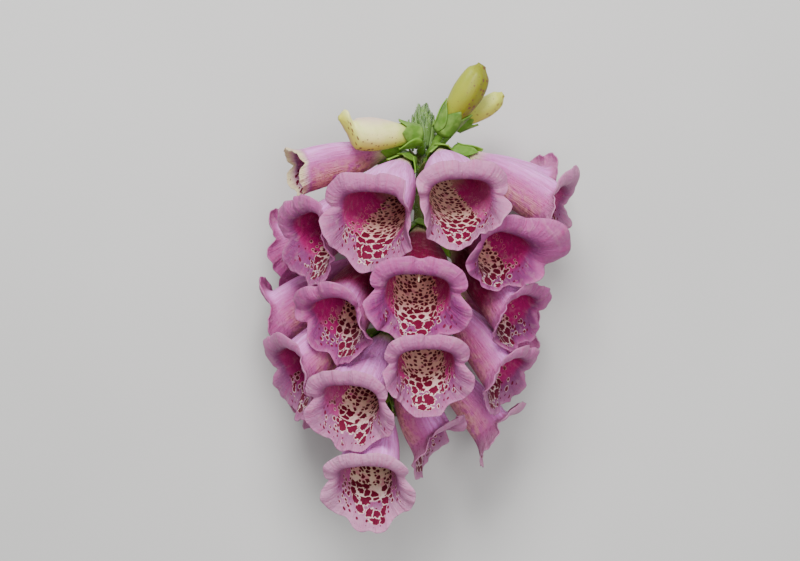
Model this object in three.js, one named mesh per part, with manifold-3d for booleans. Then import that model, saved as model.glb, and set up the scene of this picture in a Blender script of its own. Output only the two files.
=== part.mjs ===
// A cut foxglove flower spike, lying on its back with its bells facing up and to both sides.
// Millimetres and degrees. +Y runs up the spike to its growing tip, +Z is up from the surface that it
// lies on, and the origin is on that surface, under the middle of the spike.
import * as THREE from "three";
import Module from "manifold-3d";

const wasm = await Module();
wasm.setup();

// ---------------------------------------------------------------- driving dimensions
const DEG = Math.PI / 180;
const STEM = { x: 1.5, height: 30, foot: -38, top: 47, footRadius: 3.8, topRadius: 2.0, curve: 0.0009 };
const MIDDLE = 1.4; // how far up the spike the middle of its whole length is
const WALL = 0.8; // thickness of petals, sepals and bracts
const GAP = 0.35; // clearance between neighbouring pieces

// The bell of a full-grown flower, base to throat. Radii against the share of the way to the throat.
const HALF_WIDTH = [[0, 2.4], [0.12, 2.7], [0.3, 5.6], [0.55, 8.5], [0.8, 9.8], [1, 10.2]];
const ROOF = [[0, 2.4], [0.12, 2.7], [0.3, 4.4], [0.55, 6.2], [0.8, 7.2], [1, 7.6]];
const FLOOR = [[0, 2.4], [0.12, 2.8], [0.3, 6.2], [0.55, 8.6], [0.8, 9.5], [1, 9.7]];
const BEND = 14; // how far the bell curves down between base and throat
const SQUARE = 1.2; // how much squarer than an ellipse the roof's arch is at the throat

// Its rim, against the angle from the top of the throat: two fused upper lobes to 73 degrees, where a
// notch parts them from the side lobe, and the long lower lip from 142 degrees.
const RIM_ANGLES = [0, 30, 55, 73, 92, 115, 142, 162, 180];
const REACH = [[0, 39], [55, 39.3], [92, 40], [142, 41.2], [180, 42]]; // base to throat
const LIP = [
  [0, 8.4], [30, 9], [55, 7.8], [73, 5.2], [92, 9.6],
  [115, 10.2], [142, 9], [162, 12.6], [180, 12],
];
const TURN = [
  [0, 150], [30, 146], [55, 130], [73, 92], [92, 86],
  [115, 78], [142, 50], [162, 38], [180, 32],
];
const WALL_SLOPE = 6; // the wall's own flare at the throat, where the lips start
const LEAST_TURN = -6; // the most that a lip is pressed inward
const NEIGHBOUR = 44; // throats nearer than this press on each other
const IN_FRONT = 8; // a bell this much further out keeps its lips, and the one behind gives way
const CREST = 6.5; // how far a rolled-back upper lip stands out from the wall
const CREST_CLEAR = 14; // a bell this much further back stays clear of the rolled lip in front
const LOWER_KEEPS = 1.2; // and so does the lower of two bells that stand one above the other

// Open flowers, one a row: its name, how far up the spike its base is, the side of the stem that its
// stalk grows from (0 faces up, positive is the spike's right), the way that the bell faces, how far
// it droops, its roll about its own axis, the distance of its base from the stem's axis, its size, how
// far its lips have opened, and the share of the lower lip that the flower below leaves it. One that
// hangs down first and curves up to its mouth has its own bend last.
const FLOWERS = [
  ["01", 42.4, -33, -15, 33, 4, 9.8, 0.96, 1, 0.9],
  ["02", 45.2, 27, 9, 32, -2, 10.8, 0.935, 1, 0.7],
  ["03", 36.5, -70, -53, 34, -12, 8, 0.9, 1, 0.9],
  ["04", 32.5, 53, 33.8, 38.5, 15, 9.8, 0.87, 1, 0.52],
  ["05", 21.3, -3, -1, 38, 4, 10, 0.95, 1, 0.72],
  ["06", 17.5, -48, -40, 45, -12, 9.5, 0.9, 1, 0.9],
  ["07", 19, 58, 56, 48, 10, 8.5, 0.845, 0.9, 0.9],
  ["08", -1.2, 3, 4, 40, 0, 10, 0.85, 1, 0.9],
  ["09", -11.2, -48, -22, 41, 1, 10, 0.87, 1, 0.9],
  ["10", -0.8, -76, -62, 41, -13, 11, 0.89, 1, 1],
  ["11", 0.6, 68, 60, 52, 10, 8, 0.8, 1, 0.9],
  ["12", -18.3, 130, 85, 54, 4, 6.8, 0.74, 1, 1],
  ["13", -12.2, -3, 60, 61, 14, 11.6, 0.77, 1, 1, -36],
  ["14", -31.6, -50, -8, 48, -2, 10, 0.86, 1, 1],
  ["15", 13, -100, -93, 35, 0, 11, 0.9, 1, 1],
  ["16", 46.5, -90, -73, 18, 0, 8.5, 0.75, 0.12, 0.6],
  ["17", 45.9, 78, 74, 35.5, 6, 11, 0.85, 1, 1],
  ["18", 44.6, 116, 112.6, 22, 0, 7.2, 0.82, 1, 1],
  ["19", 31, -110, -110.3, 29, 0, 10.8, 0.86, 1, 1],
  ["20", 4, 128, 115.3, 38, 0, 9, 0.76, 1, 1],
  ["21", -12, -125, -113.3, 38, 0, 10, 0.78, 1, 1],
].map(([name, up, side, facing, droop, roll, stalk, size, open, lower, bend = BEND]) => {
  return { name, up, side, facing, droop, roll, stalk, size, open, lower, bend };
});

// Lips that stand out as a horn where the others roll back: the angle round the rim that the horn is
// at, how wide it is, how much longer than the lip, and how far it turns outward.
const HORNS = {
  "04": { at: 42, width: 36, longer: 9.5, turn: 108 },
  "12": { at: 0, width: 30, longer: 4, turn: 135 },
  "16": { at: 0, width: 25, longer: 3, turn: 35 },
  "17": { at: 0, width: 25, longer: 4.5, turn: 150 },
};

// Closed flowers, one a row: name, up, side, facing and droop as above, how far down the stem the
// stalk starts, the distance of the base from the stem's axis, the bud's length and greatest radius,
// and how far its tip hooks up.
const BUDS = [
  ["22", 51, -15, -68, 0, 5, 9, 25, 5.3, 5.5],
  ["23", 53, 46, 70, -55, 7.4, 9, 23, 5, 1],
  ["24", 55, 102, 78, -32, 9.2, 11.5, 17, 3.3, 0.5],
].map(([name, up, side, facing, droop, rise, stalk, length, radius, hook]) => {
  return { name, up, side, facing, droop, rise, stalk, length, radius, hook };
});
const BUD_SHAPE = [[0, 0.4], [0.15, 0.62], [0.4, 0.9], [0.62, 1], [0.87, 0.8], [1, 0.3]];
const HOOK_POWER = 6; // the higher, the nearer its tip a bud bends up

const CALYX = {
  stalk: 1.15, // radius
  inside: 3.45,
  lip: 4.4,
  depth: 4.2,
  sepals: 5,
  tip: 9, // how far ahead of the base the sepals' tips are
  spread: 1.2, // and how far they stand out from the cup
  nub: 1.6, // radius of the ovary that stands in the bell's tube
  nubLength: 5,
  budRadius: 5.2, // a bud this thick has a calyx of full size
};
const TIP = { from: 47.4, to: 60, radius: 2.6, blades: 18, length: 8, width: 2.2, lean: 20 };
const BRACTS = [
  { up: 36, side: 3, length: 10, width: 4 },
  { up: 38.5, side: 50, length: 8, width: 3.4 },
  { up: 42.4, side: -45, length: 7, width: 2.2 },
];

// ---------------------------------------------------------------- materials
const MATERIALS = {
  stem: new THREE.MeshStandardMaterial({ color: 0x7f9a4e, roughness: 0.6 }),
  calyx: new THREE.MeshStandardMaterial({ color: 0x6f9a4a, roughness: 0.6 }),
  corolla: new THREE.MeshStandardMaterial({ color: 0xc98fc4, roughness: 0.55 }),
  bud: new THREE.MeshStandardMaterial({ color: 0xdcd88a, roughness: 0.5 }),
  tip: new THREE.MeshStandardMaterial({ color: 0x5d8148, roughness: 0.7 }),
};

// ---------------------------------------------------------------- helpers
// A smooth curve through the table's [x, y] pairs, level at both ends.
function smooth(table, x) {
  const last = table.length - 1;
  if (x <= table[0][0]) return table[0][1];
  if (x >= table[last][0]) return table[last][1];
  const slope = (i) =>
    i === 0 || i === last
      ? 0
      : (table[i + 1][1] - table[i - 1][1]) / (table[i + 1][0] - table[i - 1][0]);
  let i = 0;
  while (x > table[i + 1][0]) i += 1;
  const [x0, y0] = table[i];
  const [x1, y1] = table[i + 1];
  const h = x1 - x0;
  const t = (x - x0) / h;
  return (
    y0 * (1 + 2 * t) * (1 - t) ** 2 +
    slope(i) * h * t * (1 - t) ** 2 +
    y1 * t * t * (3 - 2 * t) +
    slope(i + 1) * h * t * t * (t - 1)
  );
}

const mix = (a, b, t) => a + (b - a) * t;
const vector = (x, y, z) => new THREE.Vector3(x, y, z);
const azimuthVector = (degrees) => vector(Math.sin(degrees * DEG), 0, Math.cos(degrees * DEG));
const stemAxis = (y) => vector(STEM.x - STEM.curve * (STEM.top - y) ** 2, y - MIDDLE, STEM.height);
const stemRadius = (y) => mix(STEM.footRadius, STEM.topRadius, (y - STEM.foot) / (STEM.top - STEM.foot));

// A closed surface through rings of points: capped at both ends, or joined end to start as a shell.
function geometryOf(rings, { capped }) {
  const around = rings[0].length;
  const points = rings.flat();
  const faces = [];
  const joins = capped ? rings.length - 1 : rings.length;
  for (let j = 0; j < joins; j += 1) {
    const a = j * around;
    const b = ((j + 1) % rings.length) * around;
    for (let i = 0; i < around; i += 1) {
      const k = (i + 1) % around;
      faces.push(a + i, b + k, a + k, a + i, b + i, b + k);
    }
  }
  if (capped) {
    for (const [ring, first] of [[0, true], [rings.length - 1, false]]) {
      const centre = vector(0, 0, 0);
      rings[ring].forEach((p) => centre.addScaledVector(p, 1 / around));
      points.push(centre);
      for (let i = 0; i < around; i += 1) {
        const a = ring * around + i;
        const b = ring * around + ((i + 1) % around);
        faces.push(points.length - 1, first ? a : b, first ? b : a);
      }
    }
  }
  const geometry = new THREE.BufferGeometry().setFromPoints(points);
  geometry.setIndex(faces);
  geometry.computeVertexNormals();
  return geometry;
}

// ---------------------------------------------------------------- placing a flower
// Directions at a droop: forward along the flower, up (away from the lower lip) and its right.
function directions(flower, droop) {
  const facing = azimuthVector(flower.facing);
  const forward = facing.clone().multiplyScalar(Math.cos(droop * DEG));
  forward.y = -Math.sin(droop * DEG);
  const up = facing.clone().multiplyScalar(Math.sin(droop * DEG));
  up.y = Math.cos(droop * DEG);
  const right = new THREE.Vector3().crossVectors(up, forward);
  const roll = (flower.roll ?? 0) * DEG;
  const rolledUp = up.clone().multiplyScalar(Math.cos(roll)).addScaledVector(right, Math.sin(roll));
  const rolledRight = right.multiplyScalar(Math.cos(roll)).addScaledVector(up, -Math.sin(roll));
  return { forward, up: rolledUp, right: rolledRight };
}

function frameOf(flower) {
  const bend = flower.length ? 0 : flower.bend;
  const base = stemAxis(flower.up).addScaledVector(azimuthVector(flower.side), flower.stalk);
  return { base, ...directions(flower, flower.droop - bend) };
}

// The middle of the throat and the directions there.
function throatOf(flower) {
  const frame = frameOf(flower);
  const bend = flower.bend * DEG;
  const radius = REACH[0][1] / bend;
  const centre = frame.base
    .clone()
    .addScaledVector(frame.forward, (radius * Math.sin(bend) + WALL) * flower.size)
    .addScaledVector(frame.up, -radius * (1 - Math.cos(bend)) * flower.size);
  const bent = directions(flower, flower.droop);
  return { centre, forward: bent.forward, up: bent.up, right: frame.right };
}

// ---------------------------------------------------------------- corolla
// How far a lip has gone forward and outward at share q of its length.
function lipAt(q, length, turn) {
  const steps = 10;
  let forward = 0;
  let outward = 0;
  for (let k = 0; k < steps; k += 1) {
    const s = ((k + 0.5) / steps) * q;
    const angle = (WALL_SLOPE + (turn - WALL_SLOPE) * s ** 0.85) * DEG;
    forward += (Math.cos(angle) * length * q) / steps;
    outward += (Math.sin(angle) * length * q) / steps;
  }
  return { forward, outward };
}

// The bell's cross-section at an angle from its top, at a share of the way to the throat: a place on
// its wall and the way out from it, both as right and up. The roof's arch is squarer than an ellipse.
function wallAt(angle, share) {
  const sin = Math.sin(angle * DEG);
  const cos = Math.cos(angle * DEG);
  const power = cos > 0 ? 2 + SQUARE * smooth([[0.2, 0], [1, 1]], share) : 2;
  const bulge = (Math.abs(sin) ** power + Math.abs(cos) ** power) ** (-1 / power);
  const right = Math.sign(sin) * Math.abs(sin) ** (power - 1);
  const up = Math.sign(cos) * Math.abs(cos) ** (power - 1);
  return {
    right: sin * bulge * smooth(HALF_WIDTH, share),
    up: cos * bulge * smooth(cos > 0 ? ROOF : FLOOR, share),
    outRight: right / Math.hypot(right, up),
    outUp: up / Math.hypot(right, up),
  };
}

// How far the throat reaches from the bell's axis in a direction given by its right and up.
function throatReach(right, up) {
  const power = up > 0 ? (2 + SQUARE) / (1 + SQUARE) : 2;
  const across = Math.abs(right * HALF_WIDTH.at(-1)[1]) ** power;
  const tall = Math.abs(up * (up > 0 ? ROOF : FLOOR).at(-1)[1]) ** power;
  return (across + tall) ** (1 / power);
}

// The planes that a flower's lips keep behind, one for each neighbour: halfway between two bells that
// reach equally far, and along the wall of a bell that reaches further.
function contactsOf(flower) {
  const own = throatOf(flower);
  const contacts = [];
  for (const other of FLOWERS) {
    const its = throatOf(other);
    const apart = own.centre.clone().sub(its.centre);
    if (other === flower || apart.length() > NEIGHBOUR) continue;
    const ahead = own.forward.clone().add(its.forward).normalize();
    const lead = apart.dot(ahead);
    const normal = apart.clone().addScaledVector(ahead, -lead);
    const distance = normal.length();
    normal.normalize();
    const above = normal.dot(own.up.clone().add(its.up)) / 2;
    const yields = lead / IN_FRONT - above * LOWER_KEEPS;
    if (yields > 1) continue;
    const itsWall = throatReach(normal.dot(its.right), normal.dot(its.up)) * other.size;
    const ownWall = throatReach(-normal.dot(own.right), -normal.dot(own.up)) * flower.size;
    const middle = itsWall + Math.max(distance - itsWall - ownWall, 0) / 2;
    const band = CREST * other.size * Math.max(1 + lead / CREST_CLEAR, 0);
    const room = yields < -1 ? itsWall + WALL / 2 + band : middle;
    contacts.push({ normal, point: its.centre.clone().addScaledVector(normal, room) });
  }
  return contacts;
}

// The turn that keeps a lip's furthest point within the room that its contacts leave.
function fittedTurn(flower, own, contacts, angle, length, turn) {
  const { right, up, outRight, outUp } = wallAt(angle, 1);
  const outward = own.up.clone().multiplyScalar(outUp).addScaledVector(own.right, outRight);
  const wall = own.right.clone().multiplyScalar(right).addScaledVector(own.up, up);
  const edge = own.centre.clone().addScaledVector(wall, flower.size);
  let room = 100;
  for (const { normal, point } of contacts) {
    const approach = -normal.dot(outward);
    if (approach < 0.05) continue;
    const space = edge.clone().sub(point).dot(normal) - WALL / 2 - GAP / 2;
    room = Math.min(room, Math.max(space, 0) / approach / flower.size);
  }
  const furthest = (t) => Math.max(...[0.4, 0.6, 0.8, 1].map((q) => lipAt(q, length, t).outward));
  if (furthest(turn) <= room) return turn;
  let low = LEAST_TURN;
  let high = turn;
  for (let k = 0; k < 12; k += 1) {
    const middle = (low + high) / 2;
    if (furthest(middle) <= room) low = middle;
    else high = middle;
  }
  return low;
}

// What a flower's horn does to its lip at an angle.
function hornAt(flower, angle) {
  const horn = HORNS[flower.name];
  if (!horn) return { share: 0, longer: 0, turn: 0 };
  const off = ((angle - horn.at + 540) % 360) - 180;
  const share = Math.exp(-((off / horn.width) ** 2));
  return { share, longer: horn.longer * share, turn: horn.turn };
}

// A bell ready to be measured: its frame and, for each angle, the length and turn of its lip.
function bellOf(flower) {
  const frame = frameOf(flower);
  const own = throatOf(flower);
  const contacts = contactsOf(flower);
  const lips = new Map();
  const lip = (angle) => {
    if (!lips.has(angle)) {
      const around = Math.abs(((angle + 540) % 360) - 180);
      const lower = mix(1, flower.lower, THREE.MathUtils.smoothstep(around, 115, 160));
      const horn = hornAt(flower, angle);
      const length = smooth(LIP, around) * mix(0.55, 1, flower.open) * lower + horn.longer;
      const turn = mix(mix(WALL_SLOPE, smooth(TURN, around), flower.open), horn.turn, horn.share);
      lips.set(angle, { length, turn: fittedTurn(flower, own, contacts, angle, length, turn) });
    }
    return lips.get(angle);
  };
  return { flower, frame, lip };
}

// A point of the bell's middle surface. The angle is taken from the top; v runs from 0 at the base
// to 1 at the throat and 2 at the lip's edge.
function bellPoint({ flower, frame, lip }, angle, v) {
  const around = Math.abs(((angle + 540) % 360) - 180);
  const share = Math.min(v, 1);
  const { length, turn } = lip(angle);
  const gone = lipAt(Math.max(v - 1, 0), length, turn);
  const wall = wallAt(angle, share);
  const across = wall.right + wall.outRight * gone.outward;
  const height = wall.up + wall.outUp * gone.outward;
  const bend = (flower.bend * DEG * smooth(REACH, around) * share) / REACH[0][1];
  const radius = REACH[0][1] / (flower.bend * DEG);
  const forward = radius * Math.sin(bend) + gone.forward * Math.cos(bend) + height * Math.sin(bend);
  const up = -radius * (1 - Math.cos(bend)) - gone.forward * Math.sin(bend) + height * Math.cos(bend);
  return frame.base
    .clone()
    .addScaledVector(frame.forward, (forward + WALL) * flower.size)
    .addScaledVector(frame.up, up * flower.size)
    .addScaledVector(frame.right, across * flower.size);
}

// The bell's skin at half the wall's thickness outside (+1) or inside (-1) the middle surface.
function bellSkin(bell, angle, v, side) {
  const step = 0.01;
  const aroundIt = bellPoint(bell, angle + 1, v).sub(bellPoint(bell, angle - 1, v));
  const further = bellPoint(bell, angle, Math.min(v + step, 2));
  const alongIt = further.sub(bellPoint(bell, angle, Math.max(v - step, 0)));
  const normal = new THREE.Vector3().crossVectors(alongIt, aroundIt).normalize();
  return bellPoint(bell, angle, v).addScaledVector(normal, (side * WALL) / 2);
}

function corolla(flower) {
  const bell = bellOf(flower);
  const angles = [...RIM_ANGLES, ...RIM_ANGLES.slice(1, -1).reverse().map((a) => 360 - a)];
  const outside = [0, 0.15, 0.35, 0.65, 1, 1.3, 1.65, 2];
  const inside = [2, 1.65, 1.3, 1, 0.6, 0.2, 0];
  const ring = (v, side) => angles.map((a) => bellSkin(bell, a, v, side));
  const rings = [...outside.map((v) => ring(v, 1)), ...inside.map((v) => ring(v, -1))];
  return geometryOf(rings, { capped: false });
}

// ---------------------------------------------------------------- calyx with its stalk
function calyx(flower) {
  const { base, forward, up, right } = frameOf(flower);
  const count = CALYX.sepals * 2;
  const size = flower.length ? flower.radius / CALYX.budRadius : flower.size;
  const ring = (centre, sideways, upward, ahead, radius, tipAhead = ahead, tipRadius = radius) =>
    Array.from({ length: count }, (_, i) => {
      const angle = ((i + 0.5) * 360 * DEG) / count;
      const isTip = i % 2 === 0;
      return centre
        .clone()
        .addScaledVector(forward, isTip ? tipAhead : ahead)
        .addScaledVector(upward, Math.cos(angle) * (isTip ? tipRadius : radius))
        .addScaledVector(sideways, Math.sin(angle) * (isTip ? tipRadius : radius));
    });
  const foot = flower.up - (flower.rise ?? 2);
  const out = azimuthVector(flower.side);
  const start = stemAxis(foot).addScaledVector(out, stemRadius(foot) + GAP);
  const early = start.clone().addScaledVector(out, 1.5);
  const late = base.clone().addScaledVector(forward, -2.5);
  const stalkUp = vector(0, 1, 0);
  const stalkRight = new THREE.Vector3().crossVectors(stalkUp, out);
  const inside = (CALYX.inside - WALL) * size + WALL;
  const rim = (CALYX.lip - WALL) * size + WALL;
  const at = (...sizes) => ring(base, right, up, ...sizes);
  return geometryOf(
    [
      ring(start, stalkRight, stalkUp, 0, CALYX.stalk),
      ring(early, stalkRight, stalkUp, 0, CALYX.stalk),
      ring(late, right, up, 0, CALYX.stalk + 0.1),
      at(-1, inside * 0.95),
      at(CALYX.depth * size * 0.4, rim),
      at(CALYX.depth * size, rim, CALYX.tip * size, rim + CALYX.spread),
      at(CALYX.depth * size - 0.5, rim - WALL, CALYX.tip * size - 0.6, rim + CALYX.spread - WALL + 0.1),
      at(0.4, inside),
      at(0.2, CALYX.nub * size),
      at(flower.length ? 0.3 : CALYX.nubLength, CALYX.nub * size * 0.6),
    ],
    { capped: true },
  );
}

// ---------------------------------------------------------------- buds
function bud(flower) {
  const { base, forward, up, right } = frameOf(flower);
  const shares = [0, 0.12, 0.3, 0.5, 0.7, 0.88, 1];
  const count = 10;
  const rings = shares.map((t) => {
    const radius = smooth(BUD_SHAPE, t) * flower.radius;
    const centre = base
      .clone()
      .addScaledVector(forward, WALL + t * flower.length)
      .addScaledVector(up, flower.hook * t ** HOOK_POWER);
    return Array.from({ length: count }, (_, i) => {
      const angle = (i * 360 * DEG) / count;
      return centre
        .clone()
        .addScaledVector(up, Math.cos(angle) * radius)
        .addScaledVector(right, Math.sin(angle) * radius);
    });
  });
  return geometryOf(rings, { capped: true });
}

// ---------------------------------------------------------------- stem, bracts and growing tip
function solidOf(geometry) {
  const vertProperties = geometry.attributes.position.array;
  const triVerts = new Uint32Array(geometry.index.array);
  return new wasm.Manifold(new wasm.Mesh({ numProp: 3, vertProperties, triVerts }));
}

function geometryOfSolid(solid) {
  const { vertProperties, triVerts } = solid.getMesh();
  const geometry = new THREE.BufferGeometry();
  geometry.setAttribute("position", new THREE.BufferAttribute(vertProperties, 3));
  geometry.setIndex(new THREE.BufferAttribute(triVerts, 1));
  geometry.computeVertexNormals();
  return geometry;
}

// A leaf blade from a point: it runs along, widens across, and curls towards its own upper face.
function blade(start, along, face, length, width, curl) {
  const across = new THREE.Vector3().crossVectors(along, face);
  const rings = [[0, 0.45], [0.3, 1], [0.65, 0.8], [1, 0.22]].map(([t, w]) => {
    const centre = start
      .clone()
      .addScaledVector(along, t * length)
      .addScaledVector(face, curl * t * t);
    const corner = (a, b) =>
      centre
        .clone()
        .addScaledVector(across, (a * w * width) / 2)
        .addScaledVector(face, (b * WALL) / 2);
    return [corner(-1, -1), corner(1, -1), corner(1, 1), corner(-1, 1)];
  });
  return geometryOf(rings, { capped: true });
}

// A ring of points round the stem's axis at height y.
const levelRing = (y, radius, count) =>
  Array.from({ length: count }, (_, i) =>
    azimuthVector((-i * 360) / count)
      .multiplyScalar(radius)
      .add(stemAxis(y)),
  );

function stem() {
  const rings = [];
  const steps = 8;
  for (let j = 0; j <= steps; j += 1) {
    const y = mix(STEM.foot, STEM.top, j / steps);
    rings.push(levelRing(y, stemRadius(y), 10));
  }
  let solid = solidOf(geometryOf(rings, { capped: true }));
  for (const { up, side, length, width } of BRACTS) {
    const out = azimuthVector(side);
    const along = vector(0, 0.6, 0).addScaledVector(out, 0.8).normalize();
    const face = vector(0, 0.8, 0).addScaledVector(out, -0.6).normalize();
    const start = stemAxis(up).addScaledVector(out, stemRadius(up) * 0.5);
    solid = solid.add(solidOf(blade(start, along, face, length, width, 1)));
  }
  return geometryOfSolid(solid);
}

function growingTip() {
  const steps = 5;
  const rings = [];
  for (let j = 0; j <= steps; j += 1) {
    const t = j / steps;
    const y = mix(TIP.from, TIP.to, t);
    const radius = TIP.radius * Math.sqrt(1 - 0.92 * t * t);
    rings.push(levelRing(y, radius, 8));
  }
  let solid = solidOf(geometryOf(rings, { capped: true }));
  for (let i = 0; i < TIP.blades; i += 1) {
    const t = i / (TIP.blades - 1);
    const out = azimuthVector(i * 137.5);
    const lean = mix(TIP.lean, 4, t) * DEG;
    const along = vector(0, Math.cos(lean), 0).addScaledVector(out, Math.sin(lean));
    const face = vector(0, Math.sin(lean), 0).addScaledVector(out, -Math.cos(lean));
    const y = mix(TIP.from + 0.6, TIP.to - 3.5, t);
    const start = stemAxis(y).addScaledVector(out, TIP.radius * mix(1, 0.55, t));
    const length = TIP.length * mix(0.9, 0.7, t);
    solid = solid.add(solidOf(blade(start, along, face, length, TIP.width, 0.8)));
  }
  return geometryOfSolid(solid);
}

// ---------------------------------------------------------------- assembly
const spike = new THREE.Group();
function add(name, geometry, material) {
  const mesh = new THREE.Mesh(geometry, material);
  mesh.name = name;
  spike.add(mesh);
}

add("stem", stem(), MATERIALS.stem);
add("growing_tip", growingTip(), MATERIALS.tip);
for (const flower of FLOWERS) {
  add("corolla_" + flower.name, corolla(flower), MATERIALS.corolla);
  add("calyx_" + flower.name, calyx(flower), MATERIALS.calyx);
}
for (const flower of BUDS) {
  add("bud_" + flower.name, bud(flower), MATERIALS.bud);
  add("calyx_" + flower.name, calyx(flower), MATERIALS.calyx);
}

export default spike;
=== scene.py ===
"""A cut foxglove flower spike, lying on its back with its bells facing up and to both sides.

Sizes here are millimetres and degrees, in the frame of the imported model: +Y runs up the spike to
its growing tip and +Z is up from the surface. make_object and make_camera turn them into Blender's
metres. Only the floor and the lamps are given in metres.
"""

from functools import reduce
from math import cos, pi, radians, sin
from types import SimpleNamespace

import bpy
import numpy as np
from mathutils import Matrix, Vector


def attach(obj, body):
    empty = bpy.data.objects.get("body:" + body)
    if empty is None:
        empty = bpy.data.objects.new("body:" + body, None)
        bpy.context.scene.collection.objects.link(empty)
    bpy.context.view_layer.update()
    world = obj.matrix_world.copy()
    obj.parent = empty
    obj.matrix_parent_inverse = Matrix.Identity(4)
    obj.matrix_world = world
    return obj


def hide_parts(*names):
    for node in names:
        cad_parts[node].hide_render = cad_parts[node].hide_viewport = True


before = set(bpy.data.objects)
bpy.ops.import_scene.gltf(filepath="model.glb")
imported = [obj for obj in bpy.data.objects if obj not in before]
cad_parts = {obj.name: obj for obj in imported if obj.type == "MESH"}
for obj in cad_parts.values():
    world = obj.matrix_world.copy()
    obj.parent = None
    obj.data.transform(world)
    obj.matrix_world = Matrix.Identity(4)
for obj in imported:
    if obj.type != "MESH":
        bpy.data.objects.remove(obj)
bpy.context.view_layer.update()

# ---- driving dimensions
STEM = SimpleNamespace(x=1.5, height=30, foot=-38, top=47, foot_radius=3.8, top_radius=2.0)
STEM_CURVE = 0.0009  # how strongly the stem bows, per millimetre
MIDDLE = 1.4  # how far up the spike the middle of its whole length is
WALL = 0.8  # thickness of a bell's tube
EDGE = 0.3  # thickness of its lips' edge
GAP = 0.35  # clearance between neighbouring pieces

# The bell of a full-grown flower, base to throat. Radii against the share of the way to the throat.
HALF_WIDTH = [[0, 2.4], [0.12, 2.7], [0.3, 5.6], [0.55, 8.5], [0.8, 9.8], [1, 10.2]]
ROOF = [[0, 2.4], [0.12, 2.7], [0.3, 4.4], [0.55, 6.2], [0.8, 7.2], [1, 7.6]]
FLOOR = [[0, 2.4], [0.12, 2.8], [0.3, 6.2], [0.55, 8.6], [0.8, 9.5], [1, 9.7]]
BEND = 14  # how far the bell curves down between base and throat
SQUARE = 1.2  # how much squarer than an ellipse the roof's arch is at the throat
REACH = [[0, 39], [55, 39.3], [92, 40], [142, 41.2], [180, 42]]  # base to throat

# Its rim, against the angle from the top of the throat.
LIP = [
    [0, 8.4], [30, 9], [55, 7.8], [73, 5.2], [92, 9.6],
    [115, 10.2], [142, 9], [162, 12.6], [180, 12],
]
TURN = [
    [0, 150], [30, 146], [55, 130], [73, 92], [92, 86],
    [115, 78], [142, 50], [162, 38], [180, 32],
]
WALL_SLOPE = 6  # the wall's own flare at the throat, where the lips start
LIP_STEPS = 10
LEAST_TURN = -6  # the most that a lip is pressed inward
NEIGHBOUR = 44  # throats nearer than this press on each other
IN_FRONT = 8  # a bell this much further out keeps its lips, and the one behind gives way
LOWER_KEEPS = 1.2  # and how strongly the lower of two bells does, one above the other
CREST = 6.5  # how far a rolled-back upper lip stands out from the wall
CREST_CLEAR = 14  # a bell this much further back stays clear of the rolled lip in front

# One row a bell: its height on the stem, the way its stalk leaves the stem and the way it faces,
# how far it hangs and rolls, its distance from the stem's middle, its size, how far it is open, how
# long its lower lip is, and its own bend where it has one.
FLOWER_COLUMNS = "name up side facing droop roll stalk size open lower bend".split()
FLOWERS = [
    ["01", 42.4, -33, -15, 33, 4, 9.8, 0.96, 1, 0.9],
    ["02", 45.2, 27, 9, 32, -2, 10.8, 0.935, 1, 0.7],
    ["03", 36.5, -70, -53, 34, -12, 8, 0.9, 1, 0.9],
    ["04", 32.5, 53, 33.8, 38.5, 15, 9.8, 0.87, 1, 0.52],
    ["05", 21.3, -3, -1, 38, 4, 10, 0.95, 1, 0.72],
    ["06", 17.5, -48, -40, 45, -12, 9.5, 0.9, 1, 0.9],
    ["07", 19, 58, 56, 48, 10, 8.5, 0.845, 0.9, 0.9],
    ["08", -1.2, 3, 4, 40, 0, 10, 0.85, 1, 0.9],
    ["09", -11.2, -48, -22, 41, 1, 10, 0.87, 1, 0.9],
    ["10", -0.8, -76, -62, 41, -13, 11, 0.89, 1, 1],
    ["11", 0.6, 68, 60, 52, 10, 8, 0.8, 1, 0.9],
    ["12", -18.3, 130, 85, 54, 4, 6.8, 0.74, 1, 1],
    ["13", -12.2, -3, 60, 61, 14, 11.6, 0.77, 1, 1, -36],
    ["14", -31.6, -50, -8, 48, -2, 10, 0.86, 1, 1],
    ["15", 13, -100, -93, 35, 0, 11, 0.9, 1, 1],
    ["16", 46.5, -90, -73, 18, 0, 8.5, 0.75, 0.12, 0.6],
    ["17", 45.9, 78, 74, 35.5, 6, 11, 0.85, 1, 1],
    ["18", 44.6, 116, 112.6, 22, 0, 7.2, 0.82, 1, 1],
    ["19", 31, -110, -110.3, 29, 0, 10.8, 0.86, 1, 1],
    ["20", 4, 128, 115.3, 38, 0, 9, 0.76, 1, 1],
    ["21", -12, -125, -113.3, 38, 0, 10, 0.78, 1, 1],
]
CLOSED_LIP = 0.55  # length of a lip that has not opened yet, against an open one
NOTCHES = [[0, 9], [73, 4]]  # nicks between the lobes of the lips: where, and how wide
NOTCH_DEPTH = 0.8
RAGGED = 0.03  # share of its length by which a lip's edge comes and goes
UNEVEN = 4  # degrees by which its turn does
FOLD_HEIGHT = 0.55  # of the fine folds that run out over the lips

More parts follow.
